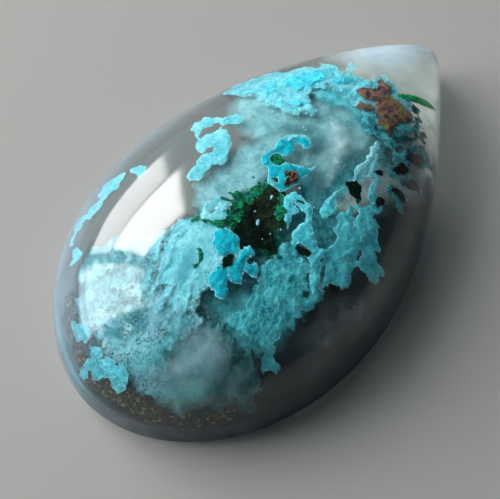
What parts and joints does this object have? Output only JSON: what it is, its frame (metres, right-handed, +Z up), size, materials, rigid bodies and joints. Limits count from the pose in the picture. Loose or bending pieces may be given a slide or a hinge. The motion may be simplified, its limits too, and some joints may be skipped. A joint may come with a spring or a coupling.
{
  "type": "polished chrysocolla cabochon",
  "caption": "Pear-shaped cabochon of clear chalcedony with turquoise chrysocolla plumes inside, polished, with a domed top, a narrow girdle and a flat base",
  "frame": {"origin": "middle of the flat base, on the surface the stone rests on", "axes": "+X runs along the stone from the rounded belly to the tip, +Y across it, +Z up through the dome"},
  "size_m": [0.036, 0.0218, 0.0096],
  "materials": {
    "chalcedony": "polished",
    "chrysocolla": "matte",
    "milky_chalcedony": "matte",
    "malachite": "matte",
    "iron_stain": "matte"
  },
  "bodies": {
    "root": {"cabochon": "chalcedony"}
  },
  "joints": []
}
